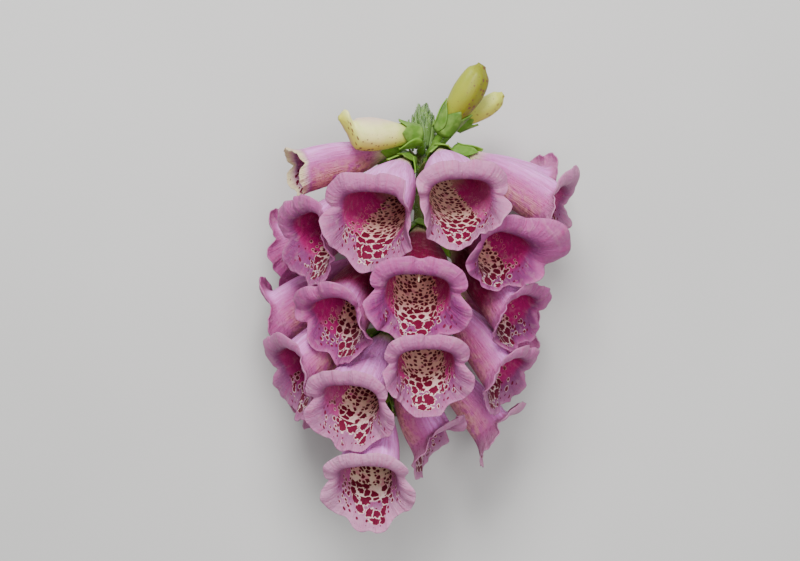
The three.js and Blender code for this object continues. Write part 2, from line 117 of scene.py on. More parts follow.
# Lips that stand out as a horn where the others roll back: angle, width, how much longer, turn.
HORNS = {
    "04": [42, 36, 9.5, 108], "12": [0, 30, 4, 135],
    "16": [0, 25, 3, 35], "17": [0, 25, 4.5, 150],
}
BUD_COLUMNS = "name up side facing droop rise stalk length radius hook".split()
BUDS = [
    ["22", 51, -15, -68, 0, 5, 9, 25, 5.3, 5.5],
    ["23", 53, 46, 70, -55, 7.4, 9, 23, 5, 1],
    ["24", 55, 102, 78, -32, 9.2, 11.5, 17, 3.3, 0.5],
]
BUD_SHAPE = [[0, 0.4], [0.15, 0.62], [0.4, 0.9], [0.62, 1], [0.87, 0.8], [1, 0.3]]
HOOK_POWER = 6  # the higher, the nearer its tip a bud bends up
CURLED = "22"  # the bud with one lobe curled up at its tip
CURLED_SEPALS = 0.74  # how long its sepals are, against the others'
CALYX = SimpleNamespace(stalk=1.15, inside=3.45, lip=4.4, tip=9)
SEPALS = SimpleNamespace(count=5, width=6.6, lap=0.28)
CALYX_BUD_RADIUS = 5.2  # a bud this thick has a calyx of full size
STALK_SINKS = 0.4  # into the stem
TIP = SimpleNamespace(foot=47.4, end=60, radius=2.6, leaves=46, length=8, width=2.2)
GOLDEN_ANGLE = 137.5  # from one leaf of the tip to the next
BRACTS = [[36, 3, 10, 4], [38.5, 50, 8, 3.4], [42.4, -45, 7, 2.2]]  # up, side, length, width
HAIR_RADIUS = 0.035
HAIRS = SimpleNamespace(stalk=90, stem=900, leaf=18)  # how many there are on each

# The style and the stamens, which hang under the roof of the bell.
STYLE_AT = [0.08, 0.25, 0.42, 0.58, 0.7]  # places along the roof, base to throat
STYLE_END = 0.78
STYLE_SHOWS = "05"  # the one bell whose style reaches the throat
STYLE_DROP = [1.0, 1.0, 1.1, 1.15, 1.2, 1.2]  # below the roof at each place
STYLE_RADII = [0.35, 0.35, 0.34, 0.32, 0.3, 0.3, 0.34, 0.16]
STAMENS = [[12, 5], [-12, 5], [24, 4], [-24, 4]]  # angle from the top, places that each reaches

# How far the spotted floor turns to one side on its way in, from the throat to the base.
TWISTS = {"01": 8.5, "02": -8, "05": -3, "06": -6, "14": -4}
TWIST_FROM = 1.05  # just outside the throat
# How far a bell has faded, by its height, where the rise at the top is painted light on the
# top bells' lips; and how much painted shade its tube gets, by how deep it lies among the others.
FADING_AND_TOP_LIGHT = [[-32, 0.8], [-12, 0.5], [-2, 0.3], [15, 0.05], [30, 0], [41, 0.2], [46, 0.5]]
TUBE_SHADE_BY_HEIGHT = [[-32, 0.1], [-12, 0.15], [-2, 0.8], [10, 1], [39, 1], [42, 0]]
YOUNGEST = "16"  # the bell that is just opening, still cream at its lips
YOUNGEST_FADING = 1.6
OUTER_SIDE = 60  # bells further round the stem than this lie more in the open
OUTER_TUBE_SHADE = 0.4  # and get only this share of that painted shade
RING = 9.0  # radius of a tube, for patterns that go round it
PATTERN_STEP = 61.7  # from one bell's part of the pattern of spots to the next one's
BUD_PATTERN_STEP = 31

AROUND = 120  # points round a bell
TUBE_LINES = 14
LIP_LINES = 26
LIP_SPACING = 0.9  # below 1, the lines lie closer together towards the edge
BUD_AROUND = 72
LEAF_ACROSS = 11
STEM_LINES = 60
STEM_AROUND = 40


# ---- curves and vectors
def smooth(table, x):
    """A smooth curve through the table's [x, y] pairs, level at both ends."""
    xs, ys = np.array(table, float).T
    x = np.clip(x, xs[0], xs[-1])
    slope = np.zeros(len(xs))
    slope[1:-1] = (ys[2:] - ys[:-2]) / (xs[2:] - xs[:-2])
    i = np.clip(np.searchsorted(xs, x, side="left") - 1, 0, len(xs) - 2)
    h = xs[i + 1] - xs[i]
    t = (x - xs[i]) / h
    return (
        ys[i] * (1 + 2 * t) * (1 - t) ** 2
        + slope[i] * h * t * (1 - t) ** 2
        + ys[i + 1] * t * t * (3 - 2 * t)
        + slope[i + 1] * h * t * t * (t - 1)
    )


def mix(a, b, t):
    return a + (b - a) * t


def ease(x, low, high):
    """0 below low, 1 above high, smooth between."""
    t = np.clip((x - low) / (high - low), 0, 1)
    return t * t * (3 - 2 * t)


def vector(x, y, z):
    return np.array([x, y, z], float)


def unit(v):
    return v / np.linalg.norm(v, axis=-1, keepdims=True)


def azimuth_vector(degrees):
    return vector(sin(radians(degrees)), 0, cos(radians(degrees)))


def stem_axis(y):
    return vector(STEM.x - STEM_CURVE * (STEM.top - y) ** 2, y - MIDDLE, STEM.height)


def stem_radius(y):
    share = (y - STEM.foot) / (STEM.top - STEM.foot)
    return mix(STEM.foot_radius, STEM.top_radius, share)


def from_top(angles):
    """The angle between a direction round the bell and its top, 0 to 180."""
    return np.abs((np.asarray(angles, float) + 180) % 360 - 180)


def waves(angles, numbers, seed):
    """A wavy line round the bell, between about -1 and 1, with these numbers of waves in a turn."""
    draw = np.random.default_rng(seed)
    phases = draw.uniform(0, 2 * pi, len(numbers))
    strengths = draw.uniform(0.5, 1, len(numbers))
    lines = [
        s * np.cos(np.radians(angles) * n + p) for n, p, s in zip(numbers, phases, strengths)
    ]
    return sum(lines) / np.sqrt(len(numbers))


# ---- placing a flower
def directions(flower, droop):
    """Forward along the flower at a droop, up away from its lower lip, and its right."""
    facing = azimuth_vector(flower.facing)
    lean = radians(droop)
    forward = facing * cos(lean) + vector(0, -sin(lean), 0)
    up = facing * sin(lean) + vector(0, cos(lean), 0)
    right = np.cross(up, forward)
    roll = radians(flower.roll)
    rolled_up = up * cos(roll) + right * sin(roll)
    rolled_right = right * cos(roll) - up * sin(roll)
    return forward, rolled_up, rolled_right


def frame_of(flower):
    base = stem_axis(flower.up) + azimuth_vector(flower.side) * flower.stalk
    return base, *directions(flower, flower.droop - flower.bend)


def throat_of(flower):
    """The middle of the throat and the directions there."""
    base, forward, up, _ = frame_of(flower)
    bend = radians(flower.bend)
    radius = REACH[0][1] / bend
    centre = base + forward * (radius * sin(bend) + WALL) * flower.size
    centre = centre - up * radius * (1 - cos(bend)) * flower.size
    return centre, *directions(flower, flower.droop)


# ---- the bell's form
def lip_at(q, length, turn):
    """How far a lip has gone forward and outward at share q of its length."""
    forward = 0
    outward = 0
    for k in range(LIP_STEPS):
        s = (k + 0.5) / LIP_STEPS * q
        angle = np.radians(WALL_SLOPE + (turn - WALL_SLOPE) * s**0.85)
        forward = forward + np.cos(angle) * length * q / LIP_STEPS
        outward = outward + np.sin(angle) * length * q / LIP_STEPS
    return forward, outward


def wall_at(angles, share):
    """The bell's cross-section: places on its wall and ways out from it, each as right and up."""
    sin = np.sin(np.radians(angles))
    cos = np.cos(np.radians(angles))
    power = 2 + np.where(cos > 0, SQUARE * smooth([[0.2, 0], [1, 1]], share), 0)
    bulge = (np.abs(sin) ** power + np.abs(cos) ** power) ** (-1 / power)
    right = np.sign(sin) * np.abs(sin) ** (power - 1)
    up = np.sign(cos) * np.abs(cos) ** (power - 1)
    height = np.where(cos > 0, smooth(ROOF, share), smooth(FLOOR, share))
    length = np.hypot(right, up)
    wall_right = sin * bulge * smooth(HALF_WIDTH, share)
    return wall_right, cos * bulge * height, right / length, up / length


def throat_reach(right, up):
    """How far the throat reaches from the bell's axis in a direction given by its right and up."""
    power = (2 + SQUARE) / (1 + SQUARE) if up > 0 else 2
    across = abs(right * HALF_WIDTH[-1][1]) ** power
    tall = abs(up * (ROOF if up > 0 else FLOOR)[-1][1]) ** power
    return (across + tall) ** (1 / power)


def contacts_of(flower):
    """The planes that a flower's lips keep behind, one for each neighbour."""
    centre, forward, up, right = throat_of(flower)
    contacts = []
    for other in flowers:
        its_centre, its_forward, its_up, its_right = throat_of(other)
        apart = centre - its_centre
        if other is flower or np.linalg.norm(apart) > NEIGHBOUR:
            continue
        ahead = unit(forward + its_forward)
        lead = apart @ ahead
        normal = apart - ahead * lead
        distance = np.linalg.norm(normal)
        normal = normal / distance
        above = normal @ (up + its_up) / 2
        yields = lead / IN_FRONT - above * LOWER_KEEPS
        if yields > 1:
            continue
        its_wall = throat_reach(normal @ its_right, normal @ its_up) * other.size
        own_wall = throat_reach(-normal @ right, -normal @ up) * flower.size
        room = its_wall + max(distance - its_wall - own_wall, 0) / 2
        if yields < -1:
            room = its_wall + WALL / 2 + CREST * other.size * max(1 + lead / CREST_CLEAR, 0)
        contacts.append((normal, its_centre + normal * room))
    return contacts


def fitted_turn(flower, angles, length, turn):
    """The turns that keep each lip's furthest point within the room that its contacts leave."""
    centre, _, up, right = throat_of(flower)
    wall_right, wall_up, out_right, out_up = (a[:, None] for a in wall_at(angles, 1))
    outward = up * out_up + right * out_right
    edge = centre + (right * wall_right + up * wall_up) * flower.size
    room = np.full(len(angles), 100.0)
    for normal, point in contacts_of(flower):
        approach = -outward @ normal
        space = np.maximum((edge - point) @ normal - WALL / 2 - GAP / 2, 0)
        near = approach > 0.05
        limit = space / np.where(near, approach, 1) / flower.size
        room = np.where(near, np.minimum(room, limit), room)

    def furthest(turns):
        return np.max([lip_at(q, length, turns)[1] for q in (0.4, 0.6, 0.8, 1)], axis=0)

    low = np.full(len(angles), float(LEAST_TURN))
    high = turn.copy()
    for _ in range(12):
        middle = (low + high) / 2
        fits = furthest(middle) <= room
        low = np.where(fits, middle, low)
        high = np.where(fits, high, middle)
    return np.where(furthest(turn) <= room, turn, low)


def horn_at(flower, angles):
    """What a flower's horn does to its lip: its share, how much longer and the turn it aims for."""
    if flower.name not in HORNS:
        return 0, 0, 0
    at, width, longer, turn = HORNS[flower.name]
    off = (np.asarray(angles) - at + 540) % 360 - 180
    share = np.exp(-((off / width) ** 2))
    return share, longer * share, turn


def lips_of(flower, angles):
    """Each lip line's length and turn, with the ragged edge of a real petal."""
    around = from_top(angles)
    seed = int(flower.name)
    lower = mix(1, flower.lower, ease(around, 115, 160))
    share, longer, horn_turn = horn_at(flower, angles)
    length = smooth(LIP, around) * mix(CLOSED_LIP, 1, flower.open) * lower + longer
    turn = mix(mix(WALL_SLOPE, smooth(TURN, around), flower.open), horn_turn, share)
    turn = fitted_turn(flower, angles, length, turn)
    length = length * (1 + RAGGED * waves(angles, (5, 8, 13, 21), seed))
    for at, width in NOTCHES:
        length = length - NOTCH_DEPTH * np.exp(-(((around - at) / width) ** 2))
    turn = turn + UNEVEN * waves(angles, (4, 7, 11), seed + 50) * flower.open
    return length, turn


def bell_points(flower, angles, v, lips):
    """Points of the middle surface: v is 0 at the base, 1 at the throat and 2 at the edge."""
    base, forward, up, right = frame_of(flower)
    length, turn = lips
    around = from_top(angles)[None, :]
    v = np.asarray(v, float)[:, None]
    share = np.minimum(v, 1)
    gone_forward, gone_outward = lip_at(np.maximum(v - 1, 0), length[None, :], turn[None, :])
    wall_right, wall_up, out_right, out_up = wall_at(np.asarray(angles)[None, :], share)
    across = wall_right + out_right * gone_outward
    height = wall_up + out_up * gone_outward
    bend = radians(flower.bend) * smooth(REACH, around) * share / REACH[0][1]
    radius = REACH[0][1] / radians(flower.bend)
    ahead = radius * np.sin(bend) + gone_forward * np.cos(bend) + height * np.sin(bend) + WALL
    rise = -radius * (1 - np.cos(bend)) - gone_forward * np.sin(bend) + height * np.cos(bend)
    size = flower.size
    local = [a[..., None] * size * d for a, d in ((ahead, forward), (rise, up), (across, right))]
    return base + local[0] + local[1] + local[2]


def outward_normals(points):
    """Unit normals of a grid of points, rings by angles, facing out of the bell."""
    around = np.roll(points, -1, axis=1) - np.roll(points, 1, axis=1)
    along = np.gradient(points, axis=0)
    return unit(np.cross(along, around))


# ---- meshes
def grid_faces(rows, columns, closed=False):
    """Quads over closed rings of points; closed also joins the last ring to the first."""
    faces = []
    for j in range(rows if closed else rows - 1):
        a = j * columns
        b = (j + 1) % rows * columns
        for i in range(columns):
            k = (i + 1) % columns
            faces.append((a + i, b + i, b + k, a + k))
    return faces


def capped_faces(rows, columns):
    """Quads over rings of points, with a cap on the first ring and on the last."""
    last = (rows - 1) * columns
    caps = [tuple(range(columns)), tuple(last + i for i in reversed(range(columns)))]
    return grid_faces(rows, columns) + caps


def add_to_scene(name, data):
    thing = bpy.data.objects.new(name, data)
    bpy.context.scene.collection.objects.link(thing)
    return thing


def make_object(name, points, faces, material, attributes):
    """An object at the origin from points in millimetres; it rides on the spike's one body."""
    mesh = bpy.data.meshes.new(name)
    mesh.from_pydata((points.reshape(-1, 3) / 1000).tolist(), [], faces)
    for key, values in attributes.items():
        layer = mesh.attributes.new(key, "FLOAT_VECTOR", "POINT")
        layer.data.foreach_set("vector", values.astype(np.float32).ravel())
    mesh.polygons.foreach_set("use_smooth", [True] * len(mesh.polygons))
    mesh.materials.append(material)
    piece = add_to_scene(name, mesh)
    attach(piece, "root")
    return piece


class Parts:
    """Small closed tubes gathered into one piece, each point with a "place" for its material."""

    def __init__(self):
        self.points = []
        self.faces = []
        self.places = []
        self.count = 0

    def tube(self, rings, places):
        """A capped tube through rings of points; places is one row, or one row a ring."""
        rings = np.asarray(rings)
        rows, columns = rings.shape[:2]
        places = np.broadcast_to(np.asarray(places, float).reshape(-1, 1, 3), rings.shape)
        self.points.append(rings.reshape(-1, 3))
        self.places.append(places.reshape(-1, 3))
        for face in capped_faces(rows, columns):
            self.faces.append(tuple(i + self.count for i in face))
        self.count += rows * columns

    def make(self, name, material):
        places = {"place": np.concatenate(self.places)}
        return make_object(name, np.concatenate(self.points), self.faces, material, places)


def round_ring(centre, side, other, radius, count):
    """A circle of points; side, other and the way of travel are a right-handed set."""
    angles = -np.arange(count) * 2 * pi / count
    return centre + radius * (np.cos(angles)[:, None] * side + np.sin(angles)[:, None] * other)


def cross_pair(direction):
    """Two directions square to this one and to each other."""
    hint = vector(0, 0, 1) if abs(direction[2]) < 0.9 else vector(1, 0, 0)
    side = unit(np.cross(hint, direction))
    return side, np.cross(direction, side)


def tube_along(parts, centres, radii, count, places):
    """A capped tube of changing radius along a line of centres."""
    centres = np.asarray(centres, float)
    travel = unit(np.gradient(centres, axis=0))
    side, _ = cross_pair(travel[0])
    rings = []
    for centre, ahead, radius in zip(centres, travel, radii):
        side = unit(side - ahead * (side @ ahead))
        rings.append(round_ring(centre, side, np.cross(ahead, side), radius, count))
    parts.tube(rings, places)


def hair(parts, root, direction, length, radius, bend, places):
    """One fine hair, three-sided and bent by the vector bend at its tip."""
    steps = np.array([0, 0.5, 1])
    centres = root + steps[:, None] * direction * length + (steps**2)[:, None] * bend
    tube_along(parts, centres, radius * np.array([1, 0.7, 0.15]), 3, places)


# ---- shader nodes
CELL_JITTER = 0.85  # how far the lattice of spots is from regular

# A surface's constants: how rough and how shiny it is, how much light it lets in, how far for red,
# green and blue, and the scale of that.
SURFACE = [
    "Roughness", "Specular IOR Level",
    "Subsurface Weight", "Subsurface Radius", "Subsurface Scale",
]


class Shader:
    """A node material round one Principled BSDF, with as many of SURFACE as are given."""

    def __init__(self, name, *surface):
        self.material = bpy.data.materials.new(name)
        self.material.use_nodes = True
        self.tree = self.material.node_tree
        self.bsdf = self.tree.nodes["Principled BSDF"]
        self.fill(self.bsdf, dict(zip(SURFACE, surface)))

    def link(self, value, socket):
        """Sets a socket to a number or colour, or links it to another node's output."""
        if isinstance(value, bpy.types.NodeSocket):
            self.tree.links.new(value, socket)
        elif isinstance(value, tuple) and len(value) == 3 and socket.type == "RGBA":
            socket.default_value = (*value, 1)
        else:
            socket.default_value = value

    def fill(self, node, values):
        for key, value in values.items():
            self.link(value, node.inputs[key])

    def node(self, kind, *values):
        """A new node with its first sockets set or linked."""
        node = self.tree.nodes.new("ShaderNode" + kind)
        for value, socket in zip(values, node.inputs):
            self.link(value, socket)
        return node

    def math(self, operation, a, b=0.0, kind="Math"):
        node = self.node(kind, a, b)
        node.operation = operation
        return node.outputs[0]

    def vector_math(self, operation, a, b):
        return self.math(operation, a, b, "VectorMath")

    def add(self, a, b):
        return self.math("ADD", a, b)

    def less(self, a, b):
        return self.math("SUBTRACT", a, b)

    def times(self, *values):
        return reduce(lambda a, b: self.math("MULTIPLY", a, b), values)

    def most(self, *values):
        return reduce(lambda a, b: self.math("MAXIMUM", a, b), values)

    def ease(self, value, low, high, start=0.0, end=1.0):
        """start where value is low, end where it is high, smooth between."""
        node = self.node("MapRange", value, low, high, start, end)
        node.interpolation_type = "SMOOTHSTEP"
        return node.outputs[0]

    def between(self, value, low, full, until, end):
        """0 below low and above end, 1 from full until until, smooth between."""
        return self.times(self.ease(value, low, full), self.ease(value, end, until))

    def mix(self, factor, a, b):
        """Colour a where factor is 0, colour b where it is 1."""
        node = self.node("Mix")
        node.data_type = "RGBA"
        for value, k in ((factor, 0), (a, 6), (b, 7)):
            self.link(value, node.inputs[k])
        return node.outputs[2]

    def coats(self, colour, *coats):
        """A colour under coats, each given by its mask and its own colour."""
        return reduce(lambda under, coat: self.mix(coat[0], under, coat[1]), coats, colour)

    def attribute(self, name):
        node = self.node("Attribute")
        node.attribute_name = name
        return node.outputs["Vector"]

    def on_object(self):
        """The place on the object, in metres."""
        return self.node("TexCoord").outputs["Object"]

    def split(self, value):
        return self.node("SeparateXYZ", value).outputs

    def join(self, x, y, z=0.0):
        return self.node("CombineXYZ", x, y, z).outputs[0]

    def noise(self, where, scale, detail=2.0, roughness=0.5):
        node = self.node("TexNoise", where)
        self.fill(node, {"Scale": scale, "Detail": detail, "Roughness": roughness})
        return node.outputs

    def cells(self, where, pitch, feature="F1"):
        """A jittered lattice. Distances are in cells, to their middles (F1) or their edges."""
        node = self.node("TexVoronoi", where)
        node.voronoi_dimensions = "2D"
        node.feature = feature
        self.fill(node, {"Scale": 1 / pitch, "Randomness": CELL_JITTER})
        return node.outputs

    def warp(self, where, scale, strength):
        """The place moved about by noise, for irregular outlines."""
        shift = self.vector_math("SUBTRACT", self.noise(where, scale)["Color"], (0.5, 0.5, 0.5))
        shift = self.vector_math("MULTIPLY", shift, (strength, strength, 0))
        return self.vector_math("ADD", where, shift)

    def bump(self, height, distance, strength):
        node = self.node("Bump")
        self.fill(node, {"Distance": distance / 1000, "Strength": strength, "Height": height})
        self.link(node.outputs[0], self.bsdf.inputs["Normal"])

    def colour(self, value):
        self.link(value, self.bsdf.inputs["Base Color"])


# ---- spots
# Layers of spots, all in millimetres: the spacing of their lattice, their least and largest radius,
# the share of the lattice's places that have one, the width of the pale ring, and the least gap
# between two of them.
SPOTS = {
    "small": (1.7, 0.4, 0.9, 0.92, 0.35, 0.28),
    "middling": (2.7, 1.0, 1.6, 0.95, 0.4, 0.33),
    "big": (3.2, 1.3, 2.1, 0.96, 0.27, 0.36),
    "dots": (1.75, 0.34, 0.62, 0.6, 0.2, 0),
    "fine": (1.8, 0.26, 0.5, 0.55, 0.1, 0),
    "flecks": (1.4, 0.16, 0.5, 0.6, 0.2, 0),
}
SOFT_EDGE = 0.10  # half the width over which a spot's edge fades, in millimetres
NO_SPOT = 0.02  # a radius too small to be drawn, in cells


def spot_layer(mat, where, layer, size):
    """Masks of a layer's round spots and of the pale rings round them; size scales both."""
    pitch, low, high, keep, halo, apart = SPOTS[layer]
    cells = mat.cells(where, pitch)
    chance = mat.split(cells["Color"])
    radius = mat.ease(chance[0], 0, 1.0, low / pitch, high / pitch)
    radius = mat.times(radius, size, mat.math("LESS_THAN", chance[1], keep))
    inside = mat.less(radius, cells["Distance"])
    if apart:
        edge = mat.cells(where, pitch, "DISTANCE_TO_EDGE")["Distance"]
        inside = mat.math("MINIMUM", inside, mat.less(edge, apart / 2 / pitch))
    soft = SOFT_EDGE / pitch
    spot = mat.ease(inside, -soft, soft)
    there = mat.math("GREATER_THAN", radius, NO_SPOT)
    grown = mat.add(inside, mat.times(size, halo / pitch))
    return spot, mat.times(mat.ease(grown, -soft, soft), there)


# ---- petal material
LIT_RIDGE = (0.92, 0.34, 0.90)  # outside of the tube along its roof, brightest there as painted light from above
FLESH_AND_SHADE = (0.52, 0.12, 0.34)  # its sides and underside, darker as painted shade; also its streaks
STAINED = (0.74, 0.35, 0.26)  # its underside, where the spots show through
PAINTED_SHADE = (0.20, 0.003, 0.042)  # painted shade on tubes that lie deep among the others
CREAM = (0.78, 0.72, 0.36)  # tube's base
PALE = (0.41, 0.090, 0.27)  # rolled lips
PALE_EDGE = (0.66, 0.42, 0.56)
LILAC = (0.205, 0.032, 0.145)  # side lobes and lower lip
FADED_AND_LIT = (0.62, 0.315, 0.47)  # paler lips: the youngest bell's and the old ones' lower down, and painted light on the top bells
THROAT = (0.46, 0.006, 0.15)  # walls of the throat
PALE_THROAT = (0.52, 0.14, 0.34)  # the same near the mouth of a faded bell, and painted light on the top bells
PEACH_GLOW = (0.86, 0.42, 0.35)  # ground of the spots deep inside: pale, tinted peach as painted light bounced off the walls
STRAW = (0.72, 0.56, 0.40)  # the same in a faded bell, and partly in the top bells, as painted light
ROSE = (0.62, 0.16, 0.24)  # patches in it
MILK = (0.76, 0.54, 0.53)  # ground near the mouth
SHADED_MAROON = (0.115, 0.0015, 0.013)  # spots deep inside, darker than on the lip as painted shade
CRIMSON = (0.145, 0.0005, 0.027)  # spots on the lower lip
SHOW_THROUGH = 0.28  # how strongly spots show on the other side of the petal

SHEEN = {"Sheen Weight": 0.03, "Sheen Roughness": 0.45, "Sheen Tint": (1.0, 0.86, 0.97)}
# Patterns over the skin of a bell: scale, and how much they are squeezed lengthwise.
STREAKS = (0.75, 0.09)
MOTTLE = (0.45, 1.0)
VEINS = (2.6, 0.08)
QUILT = (0.9, 1.0, 4, 0.6)  # with its own detail and roughness
ELSEWHERE = (7.3, 3.1, 0)  # takes the fine dots off the other spots' lattices


def petal_places(mat):
    """What the points of a bell know of their place; petal_attributes explains it."""
    at = SimpleNamespace(where=mat.attribute("petal"))
    at.around, at.v, at.inner = mat.split(mat.attribute("place"))
    u, at.along, at.fading = mat.split(at.where)
    at.sideways = mat.math("ABSOLUTE", u)
    at.ring_x, at.ring_y, at.hidden = mat.split(mat.attribute("bell"))
    return at


def petal_pattern(mat, at, scale, squeezed, detail=3, roughness=0.5):
    where = mat.join(at.ring_x, at.ring_y, mat.times(at.along, squeezed))
    return mat.noise(where, scale, detail, roughness)[0]


def petal_inside(mat, at):
    """Colour of the throat, the side lobes and the lips, without their spots."""
    paler = mat.times(mat.ease(at.fading, 0.15, 0.8), mat.ease(at.v, 0.5, 0.95, 0, 0.85))
    low_lip = mat.ease(at.around, 0.3, 0.6)
    edge_from = mat.ease(low_lip, 0, 1, 1.12, 1.6)
    return mat.coats(
        THROAT,
        (paler, PALE_THROAT),
        (mat.ease(at.v, 0.9, 1.25), LILAC),
        (mat.ease(at.v, 0.5, 0.1), CREAM),
        (mat.ease(mat.less(at.v, edge_from), 0, 0.5), PALE),
    )


def petal_outside(mat, at, mottle, youngest):
    """Colour of the tube's outside and the backs of the lips, with painted light and shade on the
    tube.
    """
    streaks = petal_pattern(mat, at, *STREAKS)
    stained = mat.times(
        mat.ease(at.around, 0.45, 0.75),
        mat.between(at.v, 0.2, 0.4, 0.9, 1.15),
        mat.ease(mottle, 0.3, 0.6),
        mat.add(mat.times(youngest, 0.3), 0.6),
    )
    return mat.coats(
        # painted light along the roof, painted shade on the sides and underside; the streaks are
        # the skin's own
        LIT_RIDGE,
        (mat.ease(at.around, 0.2, 0.55), FLESH_AND_SHADE),
        (mat.ease(streaks, 0.4, 0.62, 0, 0.5), FLESH_AND_SHADE),
        (stained, STAINED),
        # painted shade on tubes that lie deep among the others
        (mat.times(at.hidden, mat.ease(at.v, 1.05, 0.75)), PAINTED_SHADE),
        (mat.ease(at.v, 0.34, 0.1), CREAM),
        (mat.ease(at.v, 1.0, 1.5), PALE),
    )


def petal_floor(mat, at):
    """Mask of the pale strip along the bell's floor, under the spots."""
    wander = mat.ease(mat.noise(at.where, 0.4)[0], 0.3, 0.7, -1.6, 1.6)
    width = mat.add(mat.ease(at.v, 0.85, 1.15, 6.9, 4.0), wander)
    strip = mat.ease(mat.less(width, at.sideways), -0.35, 0.35)
    return mat.times(strip, mat.ease(at.v, 1.14, 1.06))


def petal_spots(mat, at):
    """Masks of all spots and of all their pale rings."""
    v, sideways = at.v, at.sideways
    uneven = mat.warp(at.where, 1.0, 0.9)

    # small and close deep inside, larger before the mouth
    deep = mat.times(mat.between(v, 0.2, 0.4, 0.86, 0.96), mat.ease(sideways, 8.4, 7.2))
    small, small_ring = spot_layer(mat, uneven, "small", deep)
    before = mat.times(mat.between(v, 0.82, 0.9, 1.04, 1.1), mat.ease(sideways, 8.2, 6.6))
    middling, middling_ring = spot_layer(mat, uneven, "middling", before)

    # large and ragged on the lower lip
    ragged = mat.warp(mat.warp(at.where, 0.5, 1.0), 0.95, 2.0)
    reach = mat.ease(v, 1.0, 1.7, 7.2, 4.6)
    low = mat.ease(mat.less(reach, sideways), -0.8, 0.8)
    low = mat.times(mat.between(v, 0.99, 1.02, 1.7, 1.85), low)
    big, big_ring = spot_layer(mat, ragged, "big", low)

    # dots on the flanks, of which only faint rings show deeper in
    flank = mat.times(mat.between(sideways, 5.2, 6.2, 11, 13), mat.between(v, 0.5, 0.6, 1.5, 1.7))
    dots, dot_ring = spot_layer(mat, mat.warp(at.where, 1.5, 0.4), "dots", flank)
    shown = mat.ease(v, 0.8, 0.95)
    dot_ring = mat.less(dot_ring, mat.times(dots, mat.less(1.0, shown)))
    dot_ring = mat.times(dot_ring, mat.add(mat.times(shown, 0.3), 0.4))
    dots = mat.times(dots, shown)

    # fine dots over the lower lips
    far = mat.times(mat.ease(sideways, 16.0, 12.0), mat.between(v, 0.98, 1.1, 1.7, 1.95))
    fine, _ = spot_layer(mat, mat.vector_math("ADD", at.where, ELSEWHERE), "fine", far)
    rings = mat.most(big_ring, small_ring, middling_ring, dot_ring)
    return mat.most(big, middling, small, dots, fine), rings


def petal_material():
    mat = Shader("petal", 0.55, 0.15, 0.12, (1.0, 0.45, 0.7), 0.001)
    mat.fill(mat.bsdf, SHEEN)
    at = petal_places(mat)
    mottle = petal_pattern(mat, at, *MOTTLE)
    veins = petal_pattern(mat, at, *VEINS)
    youngest = mat.ease(at.fading, 1.1, 1.5)

    # the ground, with its fine veins, a paler bloom and a paler edge
    outside = petal_outside(mat, at, mottle, youngest)
    ground = mat.coats(
        mat.mix(at.inner, outside, petal_inside(mat, at)),
        # faded lips, and on the top bells painted light
        (mat.times(mat.ease(at.v, 0.95, 1.7), at.fading, 0.85), FADED_AND_LIT),
        (mat.times(youngest, mat.ease(at.v, 1.2, 1.9, 0, 0.85)), CREAM),
        (mat.ease(veins, 0.5, 0.64, 0, 0.2), THROAT),
        (mat.ease(mottle, 0.5, 0.7, 0, 0.12), MILK),
        (mat.ease(at.v, 1.86, 2.0, 0, 0.1), PALE_EDGE),
    )

    # the pale floor and rings
    spots, rings = petal_spots(mat, at)
    cream = mat.coats(
        # deep inside, a painted glow of light bounced off the pink walls
        PEACH_GLOW,
        (at.fading, STRAW),
        (mat.ease(at.v, 0.75, 1.1), MILK),
        (mat.times(mat.ease(mottle, 0.5, 0.66), mat.ease(at.v, 1.1, 0.9), 0.7), ROSE),
    )
    pale = mat.times(at.inner, mat.most(rings, petal_floor(mat, at)))
    colour = mat.mix(pale, ground, cream)

    # the spots, darker deep inside as painted shade, which show faintly through to the outside
    pigment = mat.mix(mat.ease(at.v, 0.8, 1.2), SHADED_MAROON, CRIMSON)
    strength = mat.add(mat.times(at.inner, 1 - SHOW_THROUGH), SHOW_THROUGH)
    mat.colour(mat.mix(mat.times(spots, strength), colour, pigment))

    quilt = petal_pattern(mat, at, *QUILT)
    mat.bump(mat.add(mat.times(veins, 0.9), quilt), 0.55, 0.9)
    return mat.material


